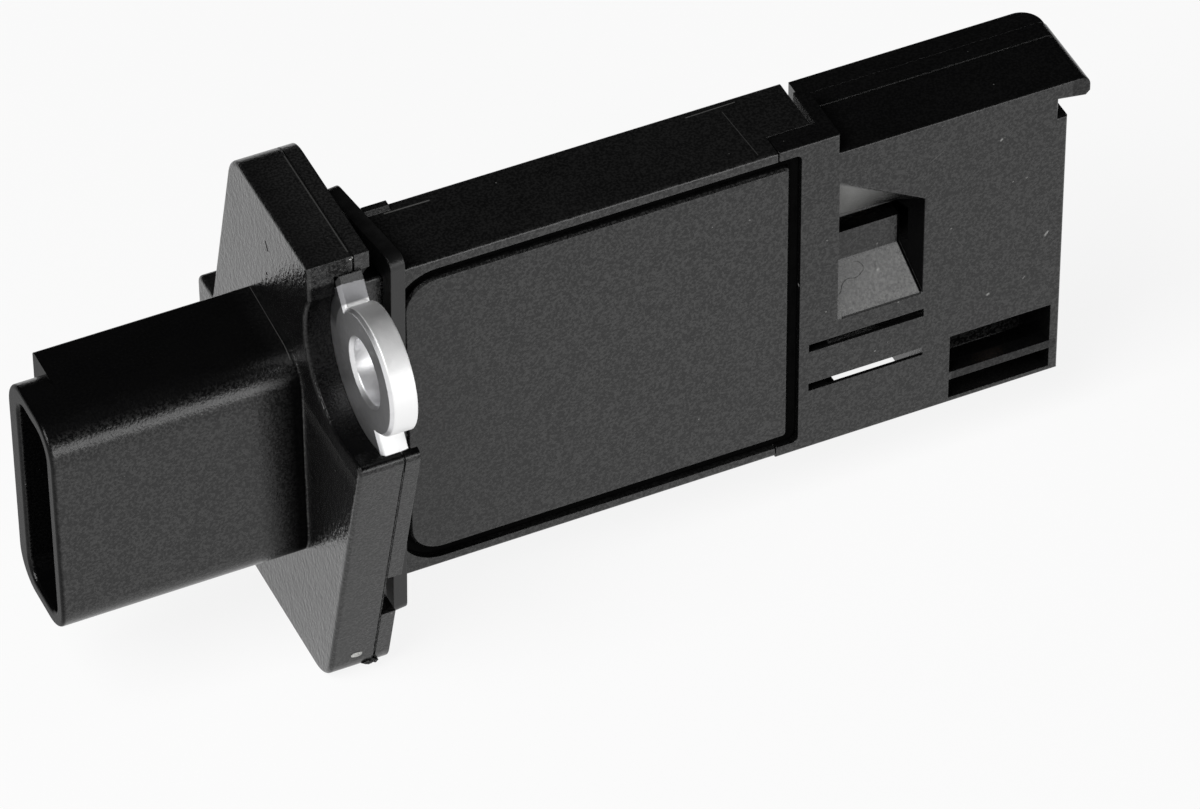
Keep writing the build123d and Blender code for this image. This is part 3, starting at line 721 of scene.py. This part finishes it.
def scoop_painted_light_and_grains(place):
    """Share of pale colour: painted light on the scoop's roof, fading towards its right end, and a faint
    pale layer with grains on its ramp.
    """
    x, y, z = place.axes()
    roof = boxed(place, *ROOF_BOX, 0.15 * MM) * short_of(x, ROOF_LIGHT_END_X, 3.6 * MM)
    slope = y - FRONT_FACE_Y - (z - RAMP_FOOT_Z) * RAMP_RISE
    ramp = boxed(place, *RAMP_BOX, 0.10 * MM) * within(slope, 0.12 * MM, 0.05 * MM)
    grains = ((noise(place, 0.3 * MM, 2.0, 0.6) - 0.4) * 4.0).clamped()
    return roof * 0.45 + ramp * (0.05 + grains * 0.25)


def tip_painted_shade(place):
    """Share of matte black with no reflection: painted shade on the scoop's leaning right wall and the
    hood's end, and a darker guard rib.
    """
    x, y, _ = place.axes()
    lean = x - WALL_X + (y - FRONT_FACE_Y) / WALL_LEAN
    wall = within(lean, 0.14 * MM, 0.05 * MM) * boxed(place, *WALL_BOX, 0.05 * MM)
    rib = boxed(place, *RIB_BOX, 0.05 * MM)
    hood = boxed(place, *HOOD_END_BOX, 0.15 * MM)
    return wall + rib * 0.35 + hood * 0.3


tip_black = moulded_plastic("tip_black", TIP_FILM, tip_painted_shade, scoop_scratches, TIP_MARKS_AND_SHADOW_LINE, scoop_painted_light_and_grains)
dress(tip_black, "bypass_shell", "bypass_cover")

# Temperature bead
# A glass-dipped thermistor on two thin nickel leads, set in the pocket's back wall behind the guard rib.
BEAD = (0.10, 0.055, 0.03, 1.0)
BEAD_PALE = (0.20, 0.12, 0.07, 1.0)
NICKEL = (0.80, 0.80, 0.81, 1.0)
NICKEL_DULL = (0.55, 0.53, 0.50, 1.0)


def bare_wire(name):
    """Dull nickel wire with drawn lines along it."""
    material, shader, place = start_material(name)
    lines = drawn_noise(place, 0.08 * MM, (1.0, 10.0, 1.0), 3.0, 0.6)
    base = (lines * 0.5).mix(NICKEL, NICKEL_DULL)
    finish_material(shader, Base_Color=base, Roughness=0.25 + lines * 0.2, Metallic=1.0)
    return material


dress(fired_ceramic("bead_glass", BEAD, BEAD_PALE, 0.4 * MM, 0.1, 0.15), "temperature_bead")
dress(bare_wire("nickel_wire"), "bead_lead_left", "bead_lead_right")

# Cover and its glue
# A flush black plate over the electronics, bedded in a groove that is filled with black silicone.
# The silicone wets the groove's walls, sags between them and has a blob where the nozzle lifted.
COVER_FILM = 0.03
GLUE = (0.0007, 0.0007, 0.0007, 1.0)
GLUE_GREY = (0.0022, 0.0022, 0.0023, 1.0)
GROOVE_MIDDLE_X = (3.275, 36.825)
GROOVE_MIDDLE_Z = 14.575
GROOVE_LEFT_R = 3.275
GROOVE_RIGHT_R = 0.5
GROOVE_HALF = 0.47
GROOVE_FLOOR_Y = -3.1
ARC_STEPS = 17
GLUE_STEPS = 720
BEAD_COLUMNS = 9
BEAD_WALL_Y = -3.95
BEAD_MIDDLE_Y = -3.72
# Height in mm, count round the groove and phase of the bead's waves.
BEAD_WAVES = ((0.05, 17, 0.4), (0.035, 41, 1.7), (0.02, 97, 0.9))
NOZZLE_BLOB_X = 28.75
NOZZLE_BLOB_HALF = 0.35
NOZZLE_BLOB_HEIGHT = 0.30
LOWER_GROOVE_Z = -14.0


def groove_line(count):
    """Even points on a rounded rectangle: quarter arcs about four corner centres, joined straight."""
    left, right = GROOVE_MIDDLE_X
    radius = np.array([GROOVE_RIGHT_R, GROOVE_RIGHT_R, GROOVE_LEFT_R, GROOVE_LEFT_R])[:, None]
    inward_x = np.array([-1, -1, 1, 1])[:, None]
    inward_z = np.array([1, -1, -1, 1])[:, None]
    centre_x = np.array([right, right, left, left])[:, None] + radius * inward_x
    centre_z = (radius - GROOVE_MIDDLE_Z) * inward_z
    quarter = np.linspace(0, 90, ARC_STEPS)
    angle = np.radians(np.array([-90, 0, 90, 180])[:, None] + quarter[None, :])
    arcs = np.stack([centre_x + radius * np.cos(angle), centre_z + radius * np.sin(angle)], axis=-1)
    loop = arcs.reshape(-1, 2)
    loop = np.vstack([loop, loop[:1]])
    steps = np.linalg.norm(np.diff(loop, axis=0), axis=1)
    length = np.concatenate([[0.0], np.cumsum(steps)])
    even = np.linspace(0.0, length[-1], count, endpoint=False)
    return np.stack([np.interp(even, length, loop[:, axis]) for axis in range(2)], axis=1)


def glue_surface(count):
    """Bead section carried round the groove: foot, walls, and a sagging top that waves along it."""
    line = groove_line(count)
    step = np.roll(line, -1, axis=0) - np.roll(line, 1, axis=0)
    step = step / np.linalg.norm(step, axis=1)[:, None]
    across = np.stack([step[:, 1], -step[:, 0]], axis=1)
    share = np.linspace(-1.0, 1.0, BEAD_COLUMNS)
    turn = np.linspace(0.0, 2 * np.pi, count, endpoint=False)
    wave = sum(height * np.sin(waves * turn + phase) for height, waves, phase in BEAD_WAVES)
    from_blob = (line[:, 0] - NOZZLE_BLOB_X) / NOZZLE_BLOB_HALF
    blob = NOZZLE_BLOB_HEIGHT * np.exp(-(from_blob**2)) * (line[:, 1] < LOWER_GROOVE_Z)
    sag = (BEAD_MIDDLE_Y + wave - blob - BEAD_WALL_Y)[:, None] * (1 - share**2)[None, :]
    offset = np.concatenate([share, [1.0, -1.0]]) * GROOVE_HALF
    depth = np.concatenate([BEAD_WALL_Y + sag, np.full((count, 2), GROOVE_FLOOR_Y)], axis=1)
    points = np.empty((count, len(offset), 3))
    points[..., 0] = line[:, None, 0] + across[:, None, 0] * offset[None, :]
    points[..., 1] = depth
    points[..., 2] = line[:, None, 1] + across[:, None, 1] * offset[None, :]
    return points


def cured_silicone(name):
    """Dull black silicone with a faint skin of dust and slow lumps."""
    material, shader, place = start_material(name)
    skin = noise(place, 0.8 * MM, 4.0, 0.6)
    base = ((skin - 0.4) * 2.5).clamped().mix(GLUE, GLUE_GREY)
    roughness = 0.6 + skin * 0.2
    normal = bumped(place, 0.4, 0.03 * MM, skin)
    finish_material(
        shader, Base_Color=base, Roughness=roughness, Normal=normal, Specular_IOR_Level=0.04
    )
    return material


dress(moulded_plastic("cover_black", COVER_FILM), "cover_plate")
silicone = cured_silicone("glue_black")
dress(silicone, "cover_glue")
glue_bead = woven_piece("glue_bead", glue_surface(GLUE_STEPS), silicone, True, True)
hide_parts("cover_glue")

# Root seal
# A flat ring cut from black nitrile sheet, pushed over the probe up to the flange, where it sits a
# little askew.
RUBBER = (0.003, 0.003, 0.0031, 1.0)
BLOOM = (0.016, 0.016, 0.016, 1.0)
RUBBER_EDGE_R = 0.12 * MM


def cut_rubber(name):
    """Satin rubber with a patchy pale bloom and a slightly torn cut."""
    material, shader, place = start_material(name)
    bloom = ((noise(place, 1.8 * MM, 5.0, 0.7) - 0.4) * 2.5).clamped()
    fine = noise(place, 0.14 * MM, 3.0, 0.6)
    base = (bloom * 0.5 + fine * 0.2).clamped().mix(RUBBER, BLOOM)
    roughness = 0.32 + bloom * 0.12 + (fine - 0.5) * 0.1
    normal = bumped(place, 0.8, 0.025 * MM, fine, RUBBER_EDGE_R)
    finish_material(shader, Base_Color=base, Roughness=roughness, Normal=normal)
    return material


dress(cut_rubber("seal_nitrile"), "root_seal")

# Floor, light and camera
# A pale floor under the part's lowest edge, a soft lamp overhead and a low one in front, a dark room
# that is pale at the horizon in front of the part only, and the photograph's view.
FLOOR_SIZE = 3.0
FLOOR_WHITE = (0.86, 0.86, 0.86, 1.0)
FLOOR_ROUGHNESS = 0.9
FLOOR_GLOW = 0.88
PURE_WHITE = (1.0, 1.0, 1.0, 1.0)
floor_z = cad_box[0][2]
half = FLOOR_SIZE / 2
outline = ((-half, -half), (half, -half), (half, half), (-half, half))
corners = [(x, y, floor_z) for x, y in outline]
floor_mesh = bpy.data.meshes.new("floor")
floor_mesh.from_pydata(corners, [], [(0, 1, 2, 3)])
floor = bpy.data.objects.new("floor", floor_mesh)
bpy.context.scene.collection.objects.link(floor)
floor_white, floor_shader, floor_place = start_material("floor_white")
finish_material(floor_shader, Base_Color=FLOOR_WHITE, Roughness=FLOOR_ROUGHNESS)
ray = floor_place.node("LightPath", {}, {}, "Is Camera Ray")
seen = (ray + ray.other("Is Glossy Ray") + ray.other("Is Transmission Ray")).clamped() * FLOOR_GLOW
glow = floor_place.node("Emission", {}, {"Color": PURE_WHITE, "Strength": 1.0})
blend_shaders(seen, floor_shader, glow)
floor_mesh.materials.append(floor_white)

HORIZON = (0.80, 0.80, 0.80, 1.0)
LOW_SKY = (0.55, 0.55, 0.55, 1.0)
HIGH_SKY = (0.008, 0.008, 0.008, 1.0)
SKY_STOPS = ((0.0, HORIZON), (0.16, HORIZON), (0.34, LOW_SKY), (0.54, HIGH_SKY))
world = bpy.data.worlds.new("pale_room")
bpy.context.scene.world = world
world.use_nodes = True
room = Shade(world.node_tree)
_, sky_depth, sky_height = room.node("TexCoord", {}, {}, "Generated").axes()
front_sky = room.node("ValToRGB", {"stops": SKY_STOPS}, {"Fac": sky_height}, "Color")
sky = (0.5 - sky_depth * 2.0).clamped().mix(HIGH_SKY, front_sky)
background = world.node_tree.nodes["Background"]
set_socket(background.inputs["Color"], sky)
set_socket(background.inputs["Strength"], 1.0)


def set_up(thing, right, up, back, place):
    """Puts a lamp or camera in the scene at place, its own X, Y and Z along three directions."""
    turned = np.eye(4)
    turned[:3] = np.stack([right, up, back, place], axis=1)
    thing.matrix_world = Matrix(turned.tolist())
    bpy.context.scene.collection.objects.link(thing)


def soft_lamp(name, place, aim, size, power):
    """A square soft lamp at place, turned to shine at aim."""
    lamp = bpy.data.lights.new(name, "AREA")
    lamp.size = size
    lamp.energy = power
    back = np.array(place) - np.array(aim)
    back = back / np.linalg.norm(back)
    side = np.cross((0.0, 1.0, 0.0), back)
    side = side / np.linalg.norm(side)
    set_up(bpy.data.objects.new(name, lamp), side, np.cross(back, side), back, place)


# Lamps: name, place and size in metres, and power in watts.
LAMPS = (
    ("overhead_softbox", (-0.48, -0.26, 0.68), 0.5, 7.5),
    ("front_softbox", (0.27, -0.78, 0.22), 0.36, 1.35),
)
middle = ((cad_box[0][0] + cad_box[1][0]) / 2, 0.0, 0.0)
for lamp_name, lamp_place, lamp_size, lamp_power in LAMPS:
    soft_lamp(lamp_name, lamp_place, middle, lamp_size, lamp_power)

LENS = 236.43
SENSOR_WIDTH = 36.0
CLIP_START = 0.02
CAMERA_PLACE = in_mm(-166.34, -414.81, 412.73)
CAMERA_RIGHT = (0.90803, -0.41886, -0.00628)
CAMERA_UP = (0.28869, 0.61482, 0.73394)
CAMERA_BACK = (-0.30356, -0.66825, 0.67919)
lens = bpy.data.cameras.new("camera")
lens.sensor_fit = "HORIZONTAL"
lens.sensor_width = SENSOR_WIDTH
lens.lens = LENS
lens.clip_start = CLIP_START
camera = bpy.data.objects.new("camera", lens)
set_up(camera, CAMERA_RIGHT, CAMERA_UP, CAMERA_BACK, CAMERA_PLACE)
bpy.context.scene.camera = camera
bpy.context.scene.view_settings.view_transform = "Standard"
